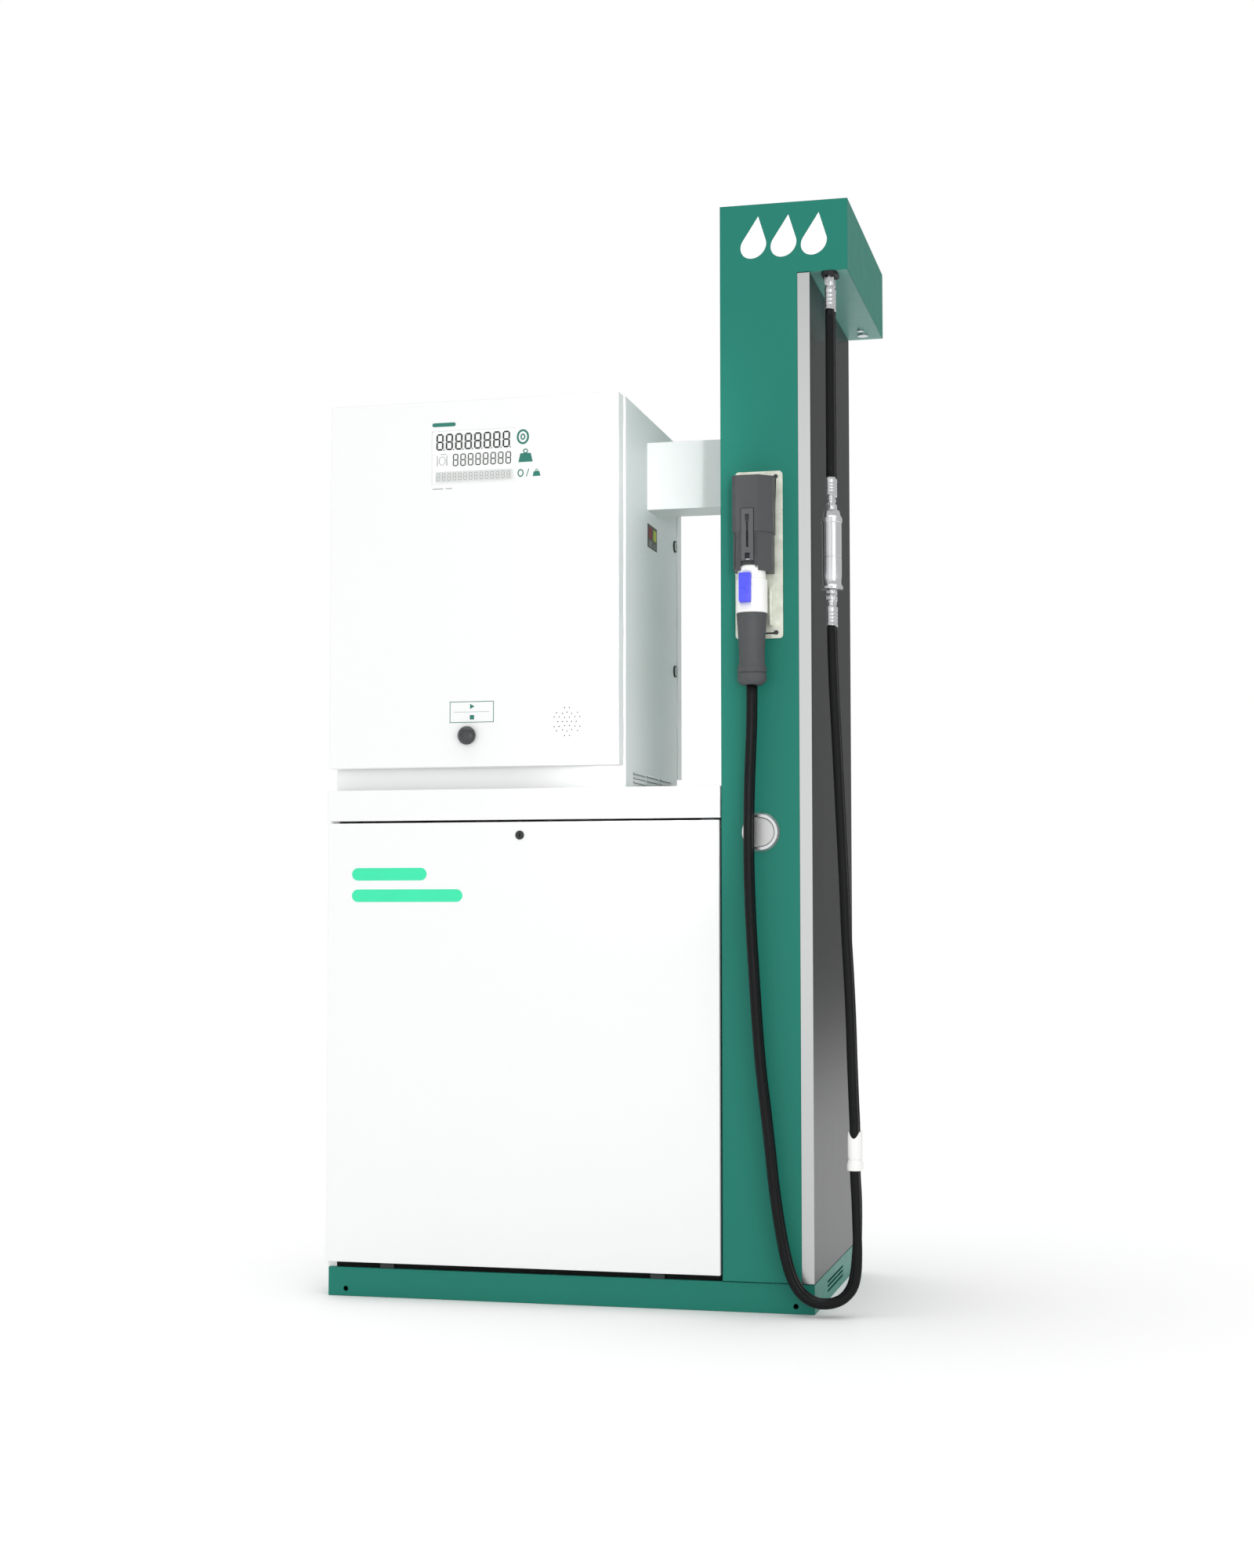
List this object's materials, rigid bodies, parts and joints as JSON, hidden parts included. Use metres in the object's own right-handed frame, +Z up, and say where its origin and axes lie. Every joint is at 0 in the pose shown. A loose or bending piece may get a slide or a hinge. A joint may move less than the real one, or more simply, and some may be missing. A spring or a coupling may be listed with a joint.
{
  "type": "gas pump",
  "caption": "Floor-standing gas dispenser: display head on a low cabinet beside a tall hose column with canopy, looped hose line, holster and nozzle.",
  "frame": {"origin": "centre of the plinth's four floor anchor holes, at floor level", "axes": "+Z up, +X towards the hose column, the front with the display and nozzle faces -Y"},
  "size_m": [1.1565, 0.678, 2.3],
  "materials": {
    "green_paint": "powder coat, satin",
    "white_paint": "powder coat, satin",
    "dark_paint": "textured black coat",
    "grey_paint": "primer grey",
    "meter_paint": "enamel",
    "red_paint": "enamel",
    "stainless": "fine vertical grain",
    "bright_steel": "machined and polished",
    "plate_cream": "buffed",
    "zinc": "zinc plated",
    "hose_rubber": "smooth cover",
    "black_rubber": "moulded",
    "dark_plastic": "glass-filled nylon",
    "black_plastic": "fine texture",
    "white_plastic": "moulded",
    "blue_plastic": "moulded",
    "window_clear": "clear acrylic",
    "board_green": "lacquered board"
  },
  "bodies": {
    "dispenser_body": {"plinth": "green_paint", "frame": "grey_paint", "cabinet_side": "white_paint", "top_cover": "white_paint", "head_housing": "white_paint", "door_hinges": "zinc", "door_lock_barrels": "zinc", "label_plate": "dark_paint", "controller": "board_green", "power_supply": "zinc", "box_duct": "white_paint", "column_front": "green_paint", "column_rear": "green_paint", "column_side_cover": "stainless", "canopy_shell": "green_paint", "canopy_underside": "green_paint", "hose_grommet": "black_rubber", "blanking_plugs": "bright_steel", "port_bezel": "bright_steel", "port_disc": "stainless", "holster_plate": "plate_cream", "holster_screws": "bright_steel", "holster_block": "dark_plastic", "holster_hood": "dark_plastic", "latch_pin": "zinc", "fill_hose_upper": "hose_rubber", "vent_hose_upper": "hose_rubber", "fill_hose_lower": "hose_rubber", "vent_hose_lower": "hose_rubber", "hose_fittings": "bright_steel", "breakaway": "bright_steel", "hose_clamp": "white_plastic", "gas_inlet": "bright_steel", "ball_valve": "bright_steel", "filter": "bright_steel", "flow_meter": "meter_paint", "solenoid_valves": "dark_paint", "pressure_sensor": "bright_steel", "pipework": "stainless"},
    "front_panel": {"front_panel": "white_paint"},
    "rear_panel": {"rear_panel": "white_paint"},
    "front_panel_lock": {"front_panel_lock": "black_plastic"},
    "rear_panel_lock": {"rear_panel_lock": "black_plastic"},
    "front_door": {"front_door": "white_paint", "display_window": "window_clear", "display_module": "board_green", "switch_block": "black_plastic", "speaker": "black_plastic"},
    "push_knob": {"push_knob": "dark_plastic"},
    "rear_door": {"rear_door": "white_paint"},
    "front_upper_cam": {"front_upper_cam": "zinc"},
    "front_lower_cam": {"front_lower_cam": "zinc"},
    "rear_upper_cam": {"rear_upper_cam": "zinc"},
    "rear_lower_cam": {"rear_lower_cam": "zinc"},
    "nozzle": {"nozzle_coupler": "bright_steel", "nozzle_sleeve": "white_plastic", "nozzle_grip": "dark_plastic"},
    "nozzle_button": {"nozzle_button": "blue_plastic"},
    "latch_lever": {"latch_lever": "dark_plastic"},
    "valve_handle": {"valve_handle": "red_paint"}
  },
  "joints": [
    {"name": "front_panel_tilt", "type": "hinge", "parent": "dispenser_body", "child": "front_panel", "pos_m": [-0.0985, -0.289, 0.0603], "axis": [1, 0, 0], "range_deg": [0, 20]},
    {"name": "rear_panel_tilt", "type": "hinge", "parent": "dispenser_body", "child": "rear_panel", "pos_m": [-0.0985, 0.289, 0.0603], "axis": [-1, 0, 0], "range_deg": [0, 20]},
    {"name": "front_panel_lock_turn", "type": "hinge", "parent": "front_panel", "child": "front_panel_lock", "pos_m": [-0.0985, -0.29, 0.98], "axis": [0, -1, 0], "range_deg": [0, 90]},
    {"name": "rear_panel_lock_turn", "type": "hinge", "parent": "rear_panel", "child": "rear_panel_lock", "pos_m": [-0.0985, 0.29, 0.98], "axis": [0, -1, 0], "range_deg": [0, 90]},
    {"name": "front_door_swing", "type": "hinge", "parent": "dispenser_body", "child": "front_door", "pos_m": [0.111, -0.262, 1.5], "axis": [0, 0, 1], "range_deg": [0, 90]},
    {"name": "push_knob_travel", "type": "slide", "parent": "front_door", "child": "push_knob", "axis": [0, 1, 0], "range_m": [0, 0.005], "stiffness_N_per_m": 400},
    {"name": "rear_door_swing", "type": "hinge", "parent": "dispenser_body", "child": "rear_door", "pos_m": [-0.516, 0.262, 1.5], "axis": [0, 0, 1], "range_deg": [0, 90]},
    {"name": "front_upper_cam_turn", "type": "hinge", "parent": "dispenser_body", "child": "front_upper_cam", "pos_m": [-0.49, -0.23, 1.67], "axis": [-1, 0, 0], "range_deg": [0, 90]},
    {"name": "front_lower_cam_turn", "type": "hinge", "parent": "dispenser_body", "child": "front_lower_cam", "pos_m": [-0.49, -0.23, 1.377], "axis": [-1, 0, 0], "range_deg": [0, 90]},
    {"name": "rear_upper_cam_turn", "type": "hinge", "parent": "dispenser_body", "child": "rear_upper_cam", "pos_m": [0.085, 0.23, 1.67], "axis": [1, 0, 0], "range_deg": [0, 90]},
    {"name": "rear_lower_cam_turn", "type": "hinge", "parent": "dispenser_body", "child": "rear_lower_cam", "pos_m": [0.085, 0.23, 1.377], "axis": [1, 0, 0], "range_deg": [0, 90]},
    {"name": "nozzle_pull", "type": "slide", "parent": "dispenser_body", "child": "nozzle", "axis": [0, 0, -1], "range_m": [0, 0.13], "deforming": ["fill_hose_lower", "vent_hose_lower"]},
    {"name": "nozzle_button_press", "type": "slide", "parent": "nozzle", "child": "nozzle_button", "axis": [0, 1, 0], "range_m": [0, 0.004], "stiffness_N_per_m": 500},
    {"name": "latch_lever_swing", "type": "hinge", "parent": "dispenser_body", "child": "latch_lever", "pos_m": [0.404, -0.356, 1.541], "axis": [1, 0, 0], "range_deg": [0, 60]},
    {"name": "gas_valve_turn", "type": "hinge", "parent": "dispenser_body", "child": "valve_handle", "pos_m": [-0.4, -0.08, 0.236], "axis": [0, 1, 0], "range_deg": [0, 90]}
  ]
}
